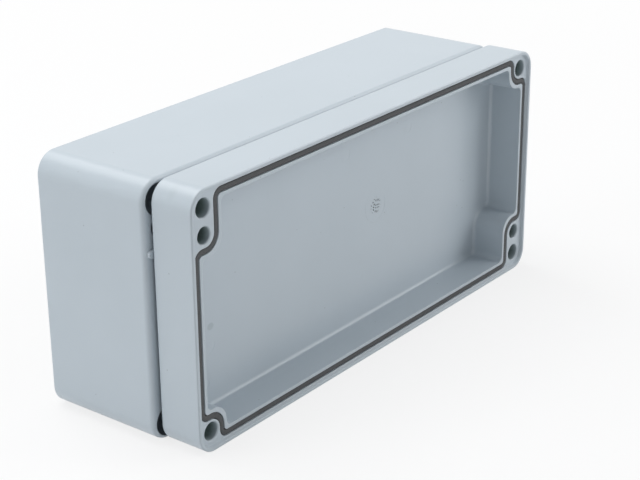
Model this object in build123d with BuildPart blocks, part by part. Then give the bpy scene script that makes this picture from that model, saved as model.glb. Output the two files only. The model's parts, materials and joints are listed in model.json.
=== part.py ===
"""Die-cast aluminium case with its lid taken off.

Both castings stand on a long side. The lid is in front with its inside and
its seal towards the front. The base is right behind it, with its closed face
against the outside of the lid and its open side towards the back.

Millimetres, X along the case, Y towards the back, Z up.
The origin is on the ground, under the middle of the pair.
"""
import os
from math import atan2, degrees

from build123d import *

os.makedirs("parts", exist_ok=True)

# Outline that the two castings share
case_length = 175.0
case_height = 80.0
case_corner_r = 6.5

# Depth of each casting's side, from its open edge to its closed face
lid_depth = 14.8
base_depth = 41.0

# How the pair stands: the lid a little to the right, leaning on the pips
lid_shift = 2.2
pip_height = 0.8

# Outer edge of the lid, which stands proud of its rim and laps over the base
edge_height = 1.0
edge_tip_width = 1.1
edge_foot_width = 1.6
edge_clearance = 0.15

# Holes outside the seal
hole_inset = 6.0
mount_inset = 14.0
lid_screw_r = 2.8
lid_blind_r = 2.5
lid_blind_depth = 10.0
hole_mouth_chamfer = 0.3

# Wells for the screw heads in the outside of the lid
head_well_r = 4.4
head_well_depth = 5.0

# Screw and wall-fixing holes in the base
thread_core_r = 2.1
thread_depth = 18.0
mount_hole_r = 3.0
mount_well_r = 4.0
mount_web = 6.0
corner_pocket_r = 4.7
corner_pocket_depth = 12.0

# Line of the seal: its distance from the sides and from the hole centres
seal_inset = 2.8
seal_to_hole = 4.7
pair_extra = 0.5
seal_corner_r = 2.2

# Groove, gasket and the tongue that presses on it
groove_width = 2.1
groove_depth = 2.4
gasket_sink = 0.1
gasket_side_gap = 0.05
gasket_bevel = 0.4
tongue_width = 1.2
tongue_height = 1.0

# Walls
lip_width = 1.0
lid_roof = 1.8
base_wall = 3.9
base_floor = 3.0
draft_angle = 1.0
lid_boss_r = 5.5
lid_inside_corner_r = 2.0
base_boss_r = 5.0
base_inside_corner_r = 2.5
floor_fillet_r = 1.2

# Outside edges: bevelled where the castings meet, rounded at the closed faces
lid_tip_bevel = 0.3
base_shoulder_bevel = 0.5
lid_face_edge_r = 1.0
base_face_edge_r = 1.5

# Threaded studs on the floor of the base
stud_pitch_x = 120.0
stud_pitch_z = 44.0
stud_r = 4.0
stud_height = 5.0
stud_core_r = 1.65
stud_core_depth = 6.0
stud_foot_bevel = 0.8

# Small raised pips on the closed face of the base
pip_width = 2.3
pip_length = 4.6
pip_below_mount = 7.0
pip_to_side = 3.4

# Marks that the ejector pins leave on the floor of the lid
pin_mark_depth = 0.12
wide_pin_r = 5.2
wide_pin_spots = [(14.5, 2.0)]
pin_r = 2.2
pin_spots = [(-1.5, 24.0), (32.0, 24.0), (-67.5, -16.0), (-70.5, -27.5)]

# Worked out from the sizes above
hole_pitch_x = case_length - 2 * hole_inset
hole_pitch_z = case_height - 2 * hole_inset
mount_rise = case_height / 2 - mount_inset
total_depth = lid_depth + pip_height + base_depth + edge_height + tongue_height
lid_tip_y = -total_depth / 2
lid_rim_y = lid_tip_y + edge_height
lid_face_y = lid_tip_y + lid_depth
lid_floor_y = lid_face_y - lid_roof
base_face_y = lid_face_y + pip_height
base_floor_y = base_face_y + base_floor
base_shoulder_y = base_face_y + base_depth
base_rim_y = base_shoulder_y + edge_height
edge_slant = degrees(atan2(edge_foot_width - edge_tip_width, edge_height))
lid_wall = seal_inset + groove_width / 2 + lip_width
tiny = 0.001


def plane_at(x_middle, y):
    """Upright plane across the case that looks out towards the front."""
    return Plane(origin=(x_middle, y, case_height / 2), x_dir=(1, 0, 0), z_dir=(0, -1, 0))


def outline(inset=0.0):
    """Rounded rectangle that runs this far inside both castings' outside."""
    with BuildSketch() as area:
        RectangleRounded(case_length - 2 * inset, case_height - 2 * inset, case_corner_r - inset)
    return area.sketch


def inside_seal(inward, block_r, corner_r):
    """Area inside a line that runs inward of the middle of the seal.

    It is the case's rectangle less a rounded block in each corner, which
    leaves the holes outside. Two corners across from each other hold a
    second hole, so their blocks are taller.
    """
    half_x = case_length / 2 - seal_inset - inward
    half_z = case_height / 2 - seal_inset - inward
    reach = seal_to_hole + inward
    with BuildSketch() as area:
        Rectangle(2 * half_x, 2 * half_z)
        for x_side, z_side in ((-1, -1), (-1, 1), (1, -1), (1, 1)):
            has_pair = x_side * z_side < 0
            block_x = hole_inset + reach + (pair_extra if has_pair else 0)
            block_z = (mount_inset if has_pair else hole_inset) + reach
            with Locations((x_side * case_length / 2, z_side * case_height / 2)):
                RectangleRounded(2 * block_x, 2 * block_z, block_r, mode=Mode.SUBTRACT)
        on_sides = area.vertices().filter_by(
            lambda v: abs(v.X) > half_x - tiny or abs(v.Y) > half_z - tiny
        )
        fillet(on_sides, corner_r)
    return area.sketch


def seal_band(width):
    """Strip of the given width along the middle of the seal."""
    half = width / 2
    with BuildSketch() as band:
        add(inside_seal(-half, seal_to_hole - half, seal_corner_r + half))
        add(inside_seal(half, seal_to_hole + half, seal_corner_r - half), mode=Mode.SUBTRACT)
    return band.sketch


def mount_spots():
    """Middles of the two wall-fixing holes, across from each other."""
    across = hole_pitch_x / 2
    return [(-across, mount_rise), (across, -mount_rise)]


def edges_at(part, y):
    """Edges that lie flat in the upright plane at this depth."""
    return part.edges().filter_by_position(Axis.Y, y - tiny, y + tiny)


lid_x = lid_shift / 2
base_x = -lid_shift / 2

case_outline = outline()
edge_inside = outline(edge_tip_width)
base_land = outline(edge_foot_width + edge_clearance)
groove_band = seal_band(groove_width)
gasket_band = seal_band(groove_width - 2 * gasket_side_gap)
tongue_band = seal_band(tongue_width)
lid_hollow = inside_seal(lid_wall - seal_inset, lid_boss_r, lid_inside_corner_r)
base_hollow = inside_seal(base_wall - seal_inset, base_boss_r, base_inside_corner_r)

# Lid: a shallow tray with a proud outer edge and the seal groove in its rim
lid_tip = plane_at(lid_x, lid_tip_y)
lid_rim = plane_at(lid_x, lid_rim_y)
lid_floor = plane_at(lid_x, lid_floor_y)
lid_face = plane_at(lid_x, lid_face_y)
with BuildPart() as lid:
    with BuildSketch(lid_tip):
        add(case_outline)
    extrude(amount=-lid_depth)
    chamfer(edges_at(lid, lid_tip_y), lid_tip_bevel)
    fillet(edges_at(lid, lid_face_y), lid_face_edge_r)

    with BuildSketch(lid_tip):
        add(edge_inside)
    extrude(amount=-edge_height, taper=edge_slant, mode=Mode.SUBTRACT)

    with BuildSketch(lid_rim):
        add(lid_hollow)
    extrude(amount=lid_rim_y - lid_floor_y, taper=draft_angle, mode=Mode.SUBTRACT)
    fillet(edges_at(lid, lid_floor_y), floor_fillet_r)

    with BuildSketch(lid_rim):
        add(groove_band)
    extrude(amount=-groove_depth, mode=Mode.SUBTRACT)

    with Locations(lid_rim):
        with GridLocations(hole_pitch_x, hole_pitch_z, 2, 2):
            CounterSinkHole(lid_screw_r, lid_screw_r + hole_mouth_chamfer, counter_sink_angle=90)
        with Locations(*mount_spots()):
            CounterSinkHole(
                lid_blind_r, lid_blind_r + hole_mouth_chamfer, lid_blind_depth, counter_sink_angle=90
            )
    with BuildSketch(lid_face):
        with GridLocations(hole_pitch_x, hole_pitch_z, 2, 2):
            Circle(head_well_r)
    extrude(amount=head_well_depth, mode=Mode.SUBTRACT)

    with BuildSketch(lid_floor):
        with Locations(*wide_pin_spots):
            Circle(wide_pin_r)
        with Locations(*pin_spots):
            Circle(pin_r)
    extrude(amount=-pin_mark_depth, mode=Mode.SUBTRACT)
lid.part.label = "lid"
export_step(lid.part, "parts/lid.step")

# Gasket: one ring that lies on the bottom of the groove
gasket_foot_y = lid_rim_y + groove_depth
gasket_height = groove_depth - gasket_sink
with BuildPart() as gasket:
    with BuildSketch(plane_at(lid_x, gasket_foot_y)):
        add(gasket_band)
    extrude(amount=gasket_height)
    chamfer(edges_at(gasket, gasket_foot_y - gasket_height), gasket_bevel)
gasket.part.label = "gasket"
export_step(gasket.part, "parts/gasket.step")

# Base: a deep box that the lid's edge laps over, open towards the back
base_shoulder = plane_at(base_x, base_shoulder_y)
base_rim = plane_at(base_x, base_rim_y)
base_face = plane_at(base_x, base_face_y)
base_floor_plane = plane_at(base_x, base_floor_y)
with BuildPart() as base:
    with BuildSketch(base_shoulder):
        add(case_outline)
    extrude(amount=base_depth)
    chamfer(edges_at(base, base_shoulder_y), base_shoulder_bevel)
    fillet(edges_at(base, base_face_y), base_face_edge_r)

    with BuildSketch(base_shoulder):
        add(base_land)
    extrude(amount=-edge_height)

    with BuildSketch(base_rim):
        add(base_hollow)
    extrude(amount=base_rim_y - base_floor_y, taper=draft_angle, mode=Mode.SUBTRACT)
    fillet(edges_at(base, base_floor_y), floor_fillet_r)

    # Low studs for a mounting plate
    with BuildSketch(base_floor_plane):
        with GridLocations(stud_pitch_x, stud_pitch_z, 2, 2):
            Circle(stud_r)
    extrude(amount=-stud_height)
    stud_feet = edges_at(base, base_floor_y).filter_by(GeomType.CIRCLE)
    chamfer(stud_feet.filter_by(lambda e: abs(e.radius - stud_r) < tiny), stud_foot_bevel)
    with Locations(plane_at(base_x, base_floor_y + stud_height).rotated((180, 0, 0))):
        with GridLocations(stud_pitch_x, stud_pitch_z, 2, 2):
            Hole(stud_core_r, stud_core_depth)

    # Tongue that presses on the gasket
    with BuildSketch(base_rim):
        add(tongue_band)
    extrude(amount=-tongue_height)

    # Threaded corner holes, and deep wells down to the two wall-fixing holes
    with Locations(base_rim.rotated((180, 0, 0))):
        with GridLocations(hole_pitch_x, hole_pitch_z, 2, 2):
            Hole(thread_core_r, thread_depth)
    with BuildSketch(base_rim):
        with Locations(*mount_spots()):
            Circle(mount_well_r)
    extrude(amount=base_rim_y - base_face_y - mount_web, mode=Mode.SUBTRACT)
    with BuildSketch(base_face):
        with Locations(*mount_spots()):
            Circle(mount_hole_r)
    extrude(amount=-mount_web, mode=Mode.SUBTRACT)
    with BuildSketch(base_face):
        with GridLocations(hole_pitch_x, hole_pitch_z, 2, 2):
            Circle(corner_pocket_r)
    extrude(amount=-corner_pocket_depth, mode=Mode.SUBTRACT)

    # Pips that keep the closed face off what it leans on
    with BuildSketch(base_face):
        for x_side, z_side in ((-1, 1), (1, -1)):
            pip_x = x_side * (case_length / 2 - pip_to_side)
            with Locations((pip_x, z_side * (mount_rise - pip_below_mount))):
                SlotOverall(pip_length, pip_width)
    extrude(amount=pip_height)
base.part.label = "base"
export_step(base.part, "parts/base.step")
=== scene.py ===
"""Looks of a die-cast aluminium case with its lid off, on a pale studio floor.

Everything is in metres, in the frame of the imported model: X along the case,
Y from the lid in front to the base behind, Z up from the floor.
"""
import json
import math

import bmesh
import bpy
import numpy as np
from mathutils import Matrix, Vector


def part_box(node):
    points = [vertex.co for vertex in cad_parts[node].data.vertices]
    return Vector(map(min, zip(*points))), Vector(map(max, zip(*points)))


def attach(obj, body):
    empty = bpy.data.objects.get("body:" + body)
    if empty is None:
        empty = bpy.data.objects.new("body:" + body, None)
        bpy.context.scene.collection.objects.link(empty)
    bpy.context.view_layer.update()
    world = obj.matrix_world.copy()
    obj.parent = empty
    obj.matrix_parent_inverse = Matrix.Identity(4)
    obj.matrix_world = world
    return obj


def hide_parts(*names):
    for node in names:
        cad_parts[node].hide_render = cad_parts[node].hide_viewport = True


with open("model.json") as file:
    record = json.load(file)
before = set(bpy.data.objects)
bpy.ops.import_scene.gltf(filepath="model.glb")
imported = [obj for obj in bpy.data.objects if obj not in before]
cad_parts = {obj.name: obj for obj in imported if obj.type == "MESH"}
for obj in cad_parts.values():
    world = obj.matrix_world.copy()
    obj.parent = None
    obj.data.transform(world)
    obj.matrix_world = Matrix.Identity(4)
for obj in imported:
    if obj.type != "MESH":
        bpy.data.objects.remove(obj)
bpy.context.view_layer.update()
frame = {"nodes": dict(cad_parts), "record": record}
nodes = frame["nodes"]
mounts = {mount["name"]: mount for mount in frame["record"]["mounts"]}
mm = 0.001

# Camera that took the photograph, which is 640 pixels wide
image_width_px = 640
focal_px = 1625.96
sensor_width_mm = 36.0
camera_azimuth = math.radians(-52.174)
camera_elevation = math.radians(22.441)
camera_roll = math.radians(-0.507)
camera_distance = 532.64 * mm
camera_target = Vector((7.07 * mm, 0.0, 28.78 * mm))
nearest_seen, farthest_seen = 0.01, 20

# Line of the seal: how far its middle keeps from the lid's sides, and how
# far from the middles of the holes that it goes round
seal_inset = 2.8 * mm
seal_to_hole = 4.7 * mm
seal_corner_r = 2.2 * mm
hole_inset = 6.0 * mm
second_hole_inset = 14.0 * mm
pair_extra = 0.5 * mm

# Section of the seal: roundness of its top and of its foot, and how many
# points go round it and round each corner of its line
seal_top_roundness = 3.4
seal_foot_roundness = 7.0
seal_section_points = 40
seal_corner_points = 13

# Threads: pitch and length of cut for an M5 and for an M4 screw. The tooth's
# foot lies in the wall of the hole, and its four corners are given as shares
# of the pitch along the hole and of the tooth's height.
thread_cuts = {
    "lid_screw_threads": (0.8 * mm, 17.6 * mm),
    "plate_studs": (0.7 * mm, 5.6 * mm),
}
tooth_foot_in_wall = 0.02 * mm
tooth_height_per_pitch = 0.45
tooth_along = np.array([0.08, 0.45, 0.55, 0.92])
tooth_up = np.array([0.0, 1.0, 1.0, 0.0])
thread_points_per_turn = 40

# Painted shade deep in the holes of the lid, a darker grey inside them: how
# deep its middle lies, its half size along, in and up, and its colour
hole_shade_depth = 8.0 * mm
hole_shade_half_size = (5.9 * mm, 8.0 * mm, 5.9 * mm)
hole_shade_colour = "7A8A89"

# Floor of the lid, and the marks of the die's pins on it: place from the
# middle of the lid, radius, and how deep the pits in it are
lid_floor_depth = 13.0 * mm
pin_mark_depth = 0.12 * mm
rough_spot = (14.5 * mm, 2.0 * mm)
pin_marks = {
    "cast_patch": [(rough_spot, 5.2 * mm, 0.11 * mm)],
    "pin_faces": [
        ((-1.5 * mm, 24.0 * mm), 2.2 * mm, 0.0),
        ((32.0 * mm, 24.0 * mm), 2.2 * mm, 0.0),
        ((-67.5 * mm, -16.0 * mm), 2.2 * mm, 0.0),
        ((-70.5 * mm, -27.5 * mm), 2.2 * mm, 0.0),
    ],
}

# Coat over the pin marks: how proud and how far past the mark it lies, how
# far it sinks at the low side, and over what width. Then the pits in it.
coat_over_mark = 0.015 * mm
coat_past_mark = 0.5 * mm
pin_tilt = 0.1 * mm
pin_edge = 0.35 * mm
pit_spacing = 1.4 * mm
pits_reach = 3.5 * mm
# Painted shade in the deepest parts of the pits of the rough mark: half size and colour
pit_shade_half_size = (pits_reach * 1.5, 0.09 * mm, pits_reach * 1.5)
pit_shade_colour = "4A5357"
pin_face_rings = 110
pin_face_spokes = 120

# Smudges on the floor of the lid: place, half size along and up, colour
smudge_half_depth = 1.0 * mm
smudges = [
    ((-70.2 * mm, -27.2 * mm), (0.5 * mm, 1.5 * mm), "78838A"),
    ((-67.0 * mm, -10.0 * mm), (1.6 * mm, 1.3 * mm), "A6B1B8"),
]

# Half width of the floor
floor_half = 3.0

# Soft boxes: place, width, watts, and whether they light the case and show
# in its coat. The low ones would burn out the top where it mirrors them. The
# last one is only a glint on the long edges.
room_strength = 0.40
lamp_aim = Vector((0.0, 0.0, 0.04))
lamps = {
    "lamp_above": (Vector((-0.05, 0.25, 1.0)), 0.7, 5.5, True, True),
    "lamp_above_behind": (Vector((0.0, 0.8, 0.8)), 0.7, 2.5, True, True),
    "lamp_left_behind": (Vector((-0.95, 0.55, 0.45)), 0.6, 4.4, True, False),
    "lamp_right_front": (Vector((0.9, -0.9, 0.5)), 0.8, 7.2, True, False),
    "lamp_on_edges": (Vector((0.9, -0.45, 0.72)), 0.5, 2.7, False, True),
}


def add_camera():
    """Camera on a sphere about its target, rolled a little about its axis."""
    flat = math.cos(camera_elevation)
    back = Vector((
        math.sin(camera_azimuth) * flat,
        -math.cos(camera_azimuth) * flat,
        math.sin(camera_elevation),
    ))
    level_right = Vector((0, 0, 1)).cross(back).normalized()
    level_up = back.cross(level_right)
    turn, rise = math.cos(camera_roll), math.sin(camera_roll)
    right = level_right * turn + level_up * rise
    up = level_up * turn - level_right * rise
    data = bpy.data.cameras.new("photo_camera")
    data.sensor_width = sensor_width_mm
    data.lens = focal_px / image_width_px * sensor_width_mm
    data.clip_start = nearest_seen
    data.clip_end = farthest_seen
    camera = bpy.data.objects.new("photo_camera", data)
    turned = Matrix((right, up, back)).transposed().to_4x4()
    camera.matrix_world = Matrix.Translation(camera_target + back * camera_distance) @ turned
    bpy.context.scene.collection.objects.link(camera)
    bpy.context.scene.camera = camera


def linear(hex_colour):
    """Linear RGBA of an sRGB colour written as six hex digits."""
    levels = [int(hex_colour[i:i + 2], 16) / 255 for i in (0, 2, 4)]
    return [v / 12.92 if v <= 0.04045 else ((v + 0.055) / 1.055) ** 2.4 for v in levels] + [1.0]


def add_node(tree, kind, inputs=None, **settings):
    """Adds a node, sets its properties, then sets or links its inputs."""
    node = tree.nodes.new(kind)
    for name, value in settings.items():
        setattr(node, name, value)
    for name, value in (inputs or {}).items():
        if isinstance(value, bpy.types.NodeSocket):
            tree.links.new(value, node.inputs[name])
        else:
            node.inputs[name].default_value = value
    return node


def new_material(name):
    """Empty material and its node tree."""
    material = bpy.data.materials.new(name)
    material.use_nodes = True
    material.node_tree.nodes.clear()
    return material, material.node_tree


def per_size(size_mm):
    """Scale that gives a noise or cell pattern features of this size."""
    return 1 / (size_mm * mm)


def lid_marks():
    """Marks in the lid's coat: middle, half size and colour of each.

    Deep in the six narrow holes, and in the deepest parts of the pits of the
    rough mark, a darker grey is painted shade. Two small grey
    smudges lie on the floor.
    """
    low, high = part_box("lid")
    middle = np.array([(low[0] + high[0]) / 2, low[1], (low[2] + high[2]) / 2])
    half_height = (high[2] - low[2]) / 2
    across = (high[0] - low[0]) / 2 - hole_inset
    first, second = half_height - hole_inset, half_height - second_hole_inset
    holes = [(-across, first), (-across, -first), (across, first), (across, -first)]
    holes += [(-across, second), (across, -second)]
    # Painted shade: a darker grey deep in each of the six holes
    marks = [(middle + [x, hole_shade_depth, z], hole_shade_half_size, hole_shade_colour) for x, z in holes]
    pit_bottoms = middle + [rough_spot[0], lid_floor_depth + pin_mark_depth, rough_spot[1]]
    # Painted shade: darker grey in the deepest parts of the pits
    marks.append((pit_bottoms, pit_shade_half_size, pit_shade_colour))
    marks += [
        (middle + [x, lid_floor_depth, z], (half_wide, smudge_half_depth, half_high), smudge_colour)
        for (x, z), (half_wide, half_high), smudge_colour in smudges
    ]
    return marks


def powder_coat(name, marks=(), edge_r=0.35 * mm):
    """Polyester powder coat, sprayed and baked on a die casting.

    It looks satin and pale blue grey, with an orange peel of 1.8 mm over the
    casting's own ripples of 14 mm, clouds of 30 mm and a few dark nibs. The
    grain of 0.45 mm is drawn coarser than the real one, so that it shows.
    The coat draws thin on sharp edges, which look rounded over edge_r. Along
    them the colour is a little paler, a painted highlight. On a piece that is
    thinner than that, edge_r is nought.
    Each mark is an ellipsoid that takes its own colour.
    """
    material, tree = new_material(name)
    place = add_node(tree, "ShaderNodeTexCoord").outputs["Object"]
    cloud = add_node(tree, "ShaderNodeTexNoise", {
        "Vector": place, "Scale": per_size(30), "Detail": 3.0,
    }).outputs["Fac"]
    ripple = add_node(tree, "ShaderNodeTexNoise", {
        "Vector": place, "Scale": per_size(14), "Detail": 1.0,
    }).outputs["Fac"]
    peel = add_node(tree, "ShaderNodeTexNoise", {
        "Vector": place, "Scale": per_size(1.8), "Detail": 2.0,
    }).outputs["Fac"]
    grain = add_node(tree, "ShaderNodeTexNoise", {
        "Vector": place, "Scale": per_size(0.45), "Detail": 2.0,
    }).outputs["Fac"]

    soft_edge = add_node(tree, "ShaderNodeBevel", {"Radius": edge_r}, samples=6)
    surface = add_node(tree, "ShaderNodeNewGeometry").outputs["Normal"]
    facing = add_node(tree, "ShaderNodeVectorMath", {
        0: soft_edge.outputs["Normal"], 1: surface,
    }, operation="DOT_PRODUCT").outputs["Value"]
    # Share of the painted highlight: a paler colour along sharp edges
    edge = add_node(tree, "ShaderNodeMapRange", {
        "Value": facing, "From Min": 0.99, "From Max": 0.75, "To Min": 0.0, "To Max": 0.6,
    }).outputs["Result"]

    coat_colour = add_node(tree, "ShaderNodeMix", {
        "Factor": cloud, 6: linear("B0BBC3"), 7: linear("B8C2CA"),
    }, data_type="RGBA").outputs[2]
    # Painted highlight along the edges
    with_edge_highlight = add_node(tree, "ShaderNodeMix", {
        "Factor": edge, 6: coat_colour, 7: linear("CAD2D7"),
    }, data_type="RGBA").outputs[2]
    nibs = add_node(tree, "ShaderNodeTexVoronoi", {"Vector": place, "Scale": per_size(6)})
    is_nib = add_node(tree, "ShaderNodeMath", {
        0: nibs.outputs["Distance"], 1: 0.03,
    }, operation="LESS_THAN").outputs[0]
    colour = add_node(tree, "ShaderNodeMix", {
        "Factor": is_nib, 6: with_edge_highlight, 7: linear("8E989E"),
    }, data_type="RGBA").outputs[2]
    for middle, half_size, mark_colour in marks:
        off = add_node(tree, "ShaderNodeVectorMath", {0: place, 1: middle}, operation="SUBTRACT")
        scaled = add_node(tree, "ShaderNodeVectorMath", {
            0: off.outputs[0], 1: half_size,
        }, operation="DIVIDE")
        out = add_node(tree, "ShaderNodeVectorMath", {0: scaled.outputs[0]}, operation="LENGTH")
        share = add_node(tree, "ShaderNodeMapRange", {
            "Value": out.outputs["Value"],
            "From Min": 0.7, "From Max": 1.0, "To Min": 1.0, "To Max": 0.0,
        }).outputs["Result"]
        colour = add_node(tree, "ShaderNodeMix", {
            "Factor": share, 6: colour, 7: linear(mark_colour),
        }, data_type="RGBA").outputs[2]
    roughness = add_node(tree, "ShaderNodeMapRange", {
        "Value": cloud, "To Min": 0.28, "To Max": 0.36,
    }).outputs["Result"]

    ripples = add_node(tree, "ShaderNodeBump", {
        "Height": ripple, "Distance": 0.05 * mm, "Normal": soft_edge.outputs["Normal"],
    })
    peeled = add_node(tree, "ShaderNodeBump", {
        "Height": peel, "Distance": 0.015 * mm, "Normal": ripples.outputs["Normal"],
    })
    grained = add_node(tree, "ShaderNodeBump", {
        "Height": grain, "Distance": 0.004 * mm, "Normal": peeled.outputs["Normal"],
    })
    coat = add_node(tree, "ShaderNodeBsdfPrincipled", {
        "Base Color": colour,
        "Roughness": roughness,
        "IOR": 1.5,
        "Normal": grained.outputs["Normal"],
    })
    add_node(tree, "ShaderNodeOutputMaterial", {"Surface": coat.outputs[0]})
    return material


def seal_rubber():
    """Extruded cellular neoprene cord.

    It looks matt and dark grey, a little uneven, with open pores. They are
    drawn at 0.35 mm, which is coarser than the real ones, so that they show.
    """
    material, tree = new_material("cellular_neoprene_cord")
    place = add_node(tree, "ShaderNodeTexCoord").outputs["Object"]
    pores = add_node(tree, "ShaderNodeTexNoise", {
        "Vector": place, "Scale": per_size(0.35), "Detail": 3.0,
    }).outputs["Fac"]
    stain = add_node(tree, "ShaderNodeTexNoise", {
        "Vector": place, "Scale": per_size(9), "Detail": 2.0,
    }).outputs["Fac"]
    cord_colour = add_node(tree, "ShaderNodeMix", {
        "Factor": stain, 6: linear("444648"), 7: linear("4F5051"),
    }, data_type="RGBA").outputs[2]
    pore_share = add_node(tree, "ShaderNodeMapRange", {
        "Value": pores, "From Min": 0.5, "From Max": 0.7, "To Max": 0.5,
    }).outputs["Result"]
    colour = add_node(tree, "ShaderNodeMix", {
        "Factor": pore_share, 6: cord_colour, 7: linear("343434"),
    }, data_type="RGBA").outputs[2]
    pitted = add_node(tree, "ShaderNodeBump", {"Height": pores, "Distance": 0.05 * mm})
    rubber = add_node(tree, "ShaderNodeBsdfPrincipled", {
        "Base Color": colour,
        "Roughness": 0.72,
        "IOR": 1.52,
        "Normal": pitted.outputs["Normal"],
    })
    add_node(tree, "ShaderNodeOutputMaterial", {"Surface": rubber.outputs[0]})
    return material


def tapped_aluminium():
    """Die-cast aluminium cut by a tap.

    It looks bright and bare, with scores drawn at 0.3 mm, coarser than the
    real ones, so that they show.
    """
    material, tree = new_material("tapped_die_cast_aluminium")
    place = add_node(tree, "ShaderNodeTexCoord").outputs["Object"]
    scores = add_node(tree, "ShaderNodeTexNoise", {
        "Vector": place, "Scale": per_size(0.3), "Detail": 2.0,
    }).outputs["Fac"]
    roughness = add_node(tree, "ShaderNodeMapRange", {
        "Value": scores, "To Min": 0.25, "To Max": 0.5,
    }).outputs["Result"]
    metal = add_node(tree, "ShaderNodeBsdfPrincipled", {
        "Base Color": linear("C9CACC"),
        "Metallic": 1.0,
        "Roughness": roughness,
    })
    add_node(tree, "ShaderNodeOutputMaterial", {"Surface": metal.outputs[0]})
    return material


def seen_or_mirrored(tree):
    """One for rays from the camera, a mirror or through glass, else nought."""
    path = add_node(tree, "ShaderNodeLightPath").outputs
    either = add_node(tree, "ShaderNodeMath", {
        0: path["Is Camera Ray"], 1: path["Is Glossy Ray"],
    }, operation="MAXIMUM").outputs[0]
    return add_node(tree, "ShaderNodeMath", {
        0: either, 1: path["Is Transmission Ray"],
    }, operation="MAXIMUM").outputs[0]


def studio_floor_paint():
    """Matt pale floor. To the eye it is white, apart from the case's shadow."""
    material, tree = new_material("studio_floor_paint")
    place = add_node(tree, "ShaderNodeTexCoord").outputs["Object"]
    from_middle = add_node(tree, "ShaderNodeVectorMath", {0: place}, operation="LENGTH")
    white_share = add_node(tree, "ShaderNodeMapRange", {
        "Value": from_middle.outputs["Value"],
        "From Min": 0.1, "From Max": 0.6, "To Min": 0.78, "To Max": 1.0,
    }).outputs["Result"]
    share = add_node(tree, "ShaderNodeMath", {
        0: white_share, 1: seen_or_mirrored(tree),
    }, operation="MULTIPLY").outputs[0]
    paint = add_node(tree, "ShaderNodeBsdfDiffuse", {"Color": linear("E4E5E6")})
    white = add_node(tree, "ShaderNodeEmission", {"Color": linear("FFFFFF"), "Strength": 1.0})
    mixed = add_node(tree, "ShaderNodeMixShader", {0: share, 1: paint.outputs[0], 2: white.outputs[0]})
    add_node(tree, "ShaderNodeOutputMaterial", {"Surface": mixed.outputs[0]})
    return material


def skin_faces(rows, columns, is_ring):
    """Faces over a grid of points whose every row goes round a section.

    The last row joins the first in a ring. Otherwise a face closes each end.
    """
    index = np.arange(rows * columns).reshape(rows, columns)
    here = index if is_ring else index[:-1]
    after = np.roll(index, -1, axis=0)[:len(here)]
    quads = np.stack((here, after, np.roll(after, -1, axis=1), np.roll(here, -1, axis=1)), axis=-1)
    ends = [] if is_ring else [index[0], index[-1]]
    return [*quads.reshape(-1, 4), *ends]


def add_piece(name, grids, material, is_ring=False):
    """Smooth piece of one or more closed skins, each given as a grid of points."""
    points = np.concatenate([grid.reshape(-1, 3) for grid in grids])
    faces, count = [], 0
    for grid in grids:
        faces += [(face + count).tolist() for face in skin_faces(*grid.shape[:2], is_ring)]
        count += grid.shape[0] * grid.shape[1]
    data = bpy.data.meshes.new(name)
    data.from_pydata(points.tolist(), [], faces)
    outwards = bmesh.new()
    outwards.from_mesh(data)
    bmesh.ops.recalc_face_normals(outwards, faces=outwards.faces)
    outwards.to_mesh(data)
    outwards.free()
    data.polygons.foreach_set("use_smooth", np.ones(len(data.polygons), dtype=bool))
    data.materials.append(material)
    piece = bpy.data.objects.new(name, data)
    bpy.context.scene.collection.objects.link(piece)
    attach(piece, "root")
    return piece


def seal_corners():
    """Corners of the seal's middle line and their radii, anticlockwise.

    Three corners go round each corner of the lid: in, round its holes and
    out again. Two of the four have a second hole above or below the first.
    """
    low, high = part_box("lid")
    middle = np.array([(low[0] + high[0]) / 2, (low[2] + high[2]) / 2])
    half = np.array([(high[0] - low[0]) / 2, (high[2] - low[2]) / 2])
    corners, radii = [], []
    for x_side, z_side in ((-1, -1), (1, -1), (1, 1), (-1, 1)):
        has_pair = x_side * z_side < 0
        side = np.array([x_side, z_side])
        block = np.array([
            hole_inset + seal_to_hole + (pair_extra if has_pair else 0),
            (second_hole_inset if has_pair else hole_inset) + seal_to_hole,
        ])
        on_level_side = side * (half - [block[0], seal_inset])
        by_holes = side * (half - block)
        on_upright_side = side * (half - [seal_inset, block[1]])
        trio = [on_level_side, by_holes, on_upright_side]
        corners += trio if has_pair else trio[::-1]
        radii += [seal_corner_r, seal_to_hole, seal_corner_r]
    return np.array(corners) + middle, np.array(radii)


def rounded_loop(corners, radii, steps):
    """Points of a closed line that turns in a quarter circle at each corner.

    With d and e the directions into and out of a corner P of radius r, the
    arc is P + r (1 - cos t) e - r (1 - sin t) d, with t from nought to a
    quarter turn. Its direction is d cos t + e sin t. Gives the points and
    the sideways directions, to the right of the way round.
    """
    into = corners - np.roll(corners, 1, axis=0)
    into /= np.linalg.norm(into, axis=1, keepdims=True)
    out = np.roll(into, -1, axis=0)
    turn = np.linspace(0, math.pi / 2, steps)[None, :, None]
    r = radii[:, None, None]
    d, e = into[:, None], out[:, None]
    points = corners[:, None] + r * (1 - np.cos(turn)) * e - r * (1 - np.sin(turn)) * d
    way = d * np.cos(turn) + e * np.sin(turn)
    sideways = np.stack((way[..., 1], -way[..., 0]), axis=-1)
    return points.reshape(-1, 2), sideways.reshape(-1, 2)


def seal_section(steps):
    """Section of the cord: a superellipse, square at its foot, domed on top.

    Across is sign(cos t) |cos t| ^ (2 / n) and up is sign(sin t)
    |sin t| ^ (2 / n), both from -1 to 1. At n = 2 it is round, and the
    larger n is, the squarer. It is larger below than above.
    """
    t = np.linspace(0, 2 * math.pi, steps, endpoint=False)
    roundness = np.where(np.sin(t) > 0, seal_top_roundness, seal_foot_roundness)
    across = np.sign(np.cos(t)) * np.abs(np.cos(t)) ** (2 / roundness)
    up = np.sign(np.sin(t)) * np.abs(np.sin(t)) ** (2 / roundness)
    return across, up


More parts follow.
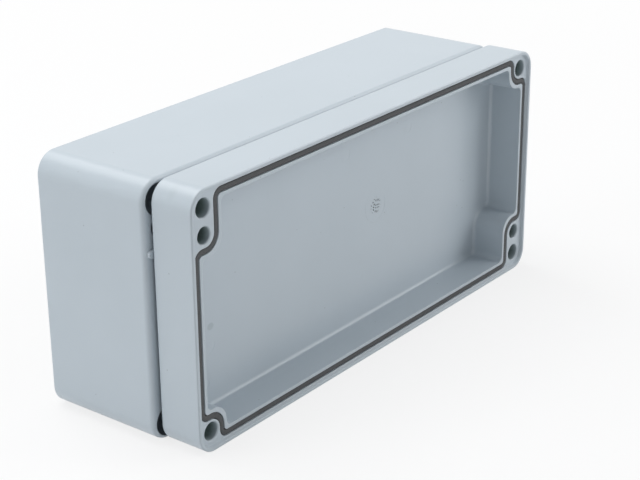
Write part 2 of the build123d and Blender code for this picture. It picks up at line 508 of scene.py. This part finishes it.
def add_seal(material):
    """Cord of the seal: its section carried along the line in the groove.

    A point of the skin is the line's point plus across times half the width
    to the side, at a depth of the middle of the groove less up times half
    the height.
    """
    low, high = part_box("gasket")
    corners, radii = seal_corners()
    line, sideways = rounded_loop(corners, radii, seal_corner_points)
    across, up = seal_section(seal_section_points)
    half_width = (high[0] - low[0]) / 2 - np.ptp(corners[:, 0]) / 2
    half_height = (high[1] - low[1]) / 2
    flat = line[:, None] + sideways[:, None] * across[None, :, None] * half_width
    depth = np.broadcast_to((low[1] + high[1]) / 2 - up * half_height, flat.shape[:2])
    points = np.stack((flat[..., 0], depth, flat[..., 1]), axis=-1)
    seal = add_piece("seal_cord", [points], material, is_ring=True)
    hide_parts("gasket")


def thread_ridge(mouth, core_r, pitch, depth):
    """Ridge of a screw thread that stands inwards from the wall of a hole.

    At angle a round the hole, which grows with each turn, the ridge lies
    pitch a / 2 pi below the mouth. Its section is a low flat-topped tooth
    with its foot just inside the wall, and its height grows from nothing
    over the first half turn and falls to nothing over the last.
    """
    foot_r = core_r + tooth_foot_in_wall
    tooth_height = tooth_height_per_pitch * pitch
    turns = depth / pitch - 1
    angle = np.linspace(0, 2 * math.pi * turns, int(thread_points_per_turn * turns))[:, None]
    run_in = np.clip(np.minimum(angle, angle[-1] - angle) / math.pi, 0.0, 1.0)
    below = pitch * (angle / (2 * math.pi) + tooth_along)
    r = foot_r - tooth_height * run_in * tooth_up
    x = mouth[0] + r * np.cos(angle)
    z = mouth[2] + r * np.sin(angle)
    return np.stack((x, mouth[1] - below, z), axis=-1)


def add_threads(mount_name, material):
    """Threads in the four holes of one of the case's bolt patterns."""
    mount = mounts[mount_name]
    size = mount["dims"]
    pitch, depth = thread_cuts[mount_name]
    reach = np.array([size["spacing_x_mm"], 0, size["spacing_y_mm"]]) * mm / 2
    mouths = [
        np.array(mount["pos_m"]) + reach * [x_side, 0, z_side]
        for x_side in (-1, 1)
        for z_side in (-1, 1)
    ]
    ridges = [thread_ridge(mouth, size["hole_r_mm"] * mm, pitch, depth) for mouth in mouths]
    add_piece(mount_name + "_cut", ridges, material)


def pin_face(middle, radius, pit_depth):
    """Face that a pin of the die leaves, under the coat that runs over it.

    Past the mark the coat lies just proud of the floor. In the mark, at x
    and z from its middle, it sinks by the pin's tilt times x less z over
    the radius, where that is above nought. Pits in it are the product of two
    slanting sine waves, each bent by a slower one, where that is above
    nought, and they fade away from the middle as the exponential of the
    fourth power. Rings run out over the front and back inside the metal.
    """
    outer_r = radius + coat_past_mark
    angle = np.linspace(0, 2 * math.pi, pin_face_spokes, endpoint=False)
    out_and_back = np.concatenate((np.linspace(0.01, 1, pin_face_rings), [0.99, 0.01]))
    r = out_and_back[:, None] * outer_r
    x, z = r * np.cos(angle), r * np.sin(angle)
    in_mark = np.clip((radius - r) / pin_edge, 0, 1)
    tilted = pin_tilt * np.clip((x - z) / (1.4 * radius), 0, None)
    wave = 2 * math.pi / pit_spacing
    rows = np.sin(wave * (0.9 * x + 0.3 * z) + 1.3 * np.sin(0.4 * wave * z + 1.0))
    columns = np.sin(wave * (0.8 * z - 0.4 * x) + 1.6 * np.sin(0.3 * wave * x + 2.0))
    near_middle = np.exp(-(r / pits_reach) ** 4)
    pits = pit_depth * near_middle * np.clip(1.4 * rows * columns, 0, 1)
    sunk = in_mark * np.maximum(tilted, pits)
    is_front = (np.arange(len(r)) < pin_face_rings)[:, None]
    y = middle[1] + np.where(is_front, sunk - coat_over_mark, 2 * pin_mark_depth)
    return np.stack((middle[0] + x, y, middle[2] + z), axis=-1)


def add_pin_faces(material):
    """Faces of the marks that the pins of the die leave on the lid's floor."""
    low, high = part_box("lid")
    middle = np.array([(low[0] + high[0]) / 2, low[1] + lid_floor_depth, (low[2] + high[2]) / 2])
    for name, faces in pin_marks.items():
        grids = [
            pin_face(middle + [x, 0, z], radius, pit_depth)
            for (x, z), radius, pit_depth in faces
        ]
        add_piece(name, grids, material)


def dress(name, material):
    """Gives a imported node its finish."""
    data = nodes[name].data
    data.materials.clear()
    data.materials.append(material)


def add_floor():
    """Wide floor under the case."""
    data = bpy.data.meshes.new("studio_floor")
    sides = ((-1, -1), (1, -1), (1, 1), (-1, 1))
    corners = [(x_side * floor_half, y_side * floor_half, 0) for x_side, y_side in sides]
    data.from_pydata(corners, [], [(0, 1, 2, 3)])
    data.materials.append(studio_floor_paint())
    floor = bpy.data.objects.new("studio_floor", data)
    bpy.context.scene.collection.objects.link(floor)


def add_room():
    """Even pale room, which is white to the eye and in mirrors."""
    world = bpy.data.worlds.new("studio_room")
    world.use_nodes = True
    tree = world.node_tree
    tree.nodes.clear()
    room = add_node(tree, "ShaderNodeBackground", {
        "Color": linear("FFFFFF"), "Strength": room_strength,
    })
    white = add_node(tree, "ShaderNodeBackground", {"Color": linear("FFFFFF"), "Strength": 1.0})
    mixed = add_node(tree, "ShaderNodeMixShader", {
        0: seen_or_mirrored(tree), 1: room.outputs[0], 2: white.outputs[0],
    })
    add_node(tree, "ShaderNodeOutputWorld", {"Surface": mixed.outputs[0]})
    bpy.context.scene.world = world


def add_lamps():
    """Square soft boxes, turned to the middle of the case."""
    for name, (place, width, watts, lights_case, is_mirrored) in lamps.items():
        data = bpy.data.lights.new(name, "AREA")
        data.size = width
        data.energy = watts
        lamp = bpy.data.objects.new(name, data)
        lamp.location = place
        lamp.visible_diffuse = lights_case
        lamp.visible_glossy = is_mirrored
        lamp.rotation_euler = (lamp_aim - place).to_track_quat("-Z", "Y").to_euler()
        bpy.context.scene.collection.objects.link(lamp)


add_camera()
add_floor()
add_room()
add_lamps()
dress("lid", powder_coat("powder_coat_on_lid", lid_marks()))
dress("base", powder_coat("powder_coat_on_base"))
add_pin_faces(powder_coat("powder_coat_over_pin_marks", lid_marks(), edge_r=0.0))
rubber = seal_rubber()
dress("gasket", rubber)
add_seal(rubber)
bare_metal = tapped_aluminium()
add_threads("lid_screw_threads", bare_metal)
add_threads("plate_studs", bare_metal)

bpy.context.scene.view_settings.view_transform = "Standard"
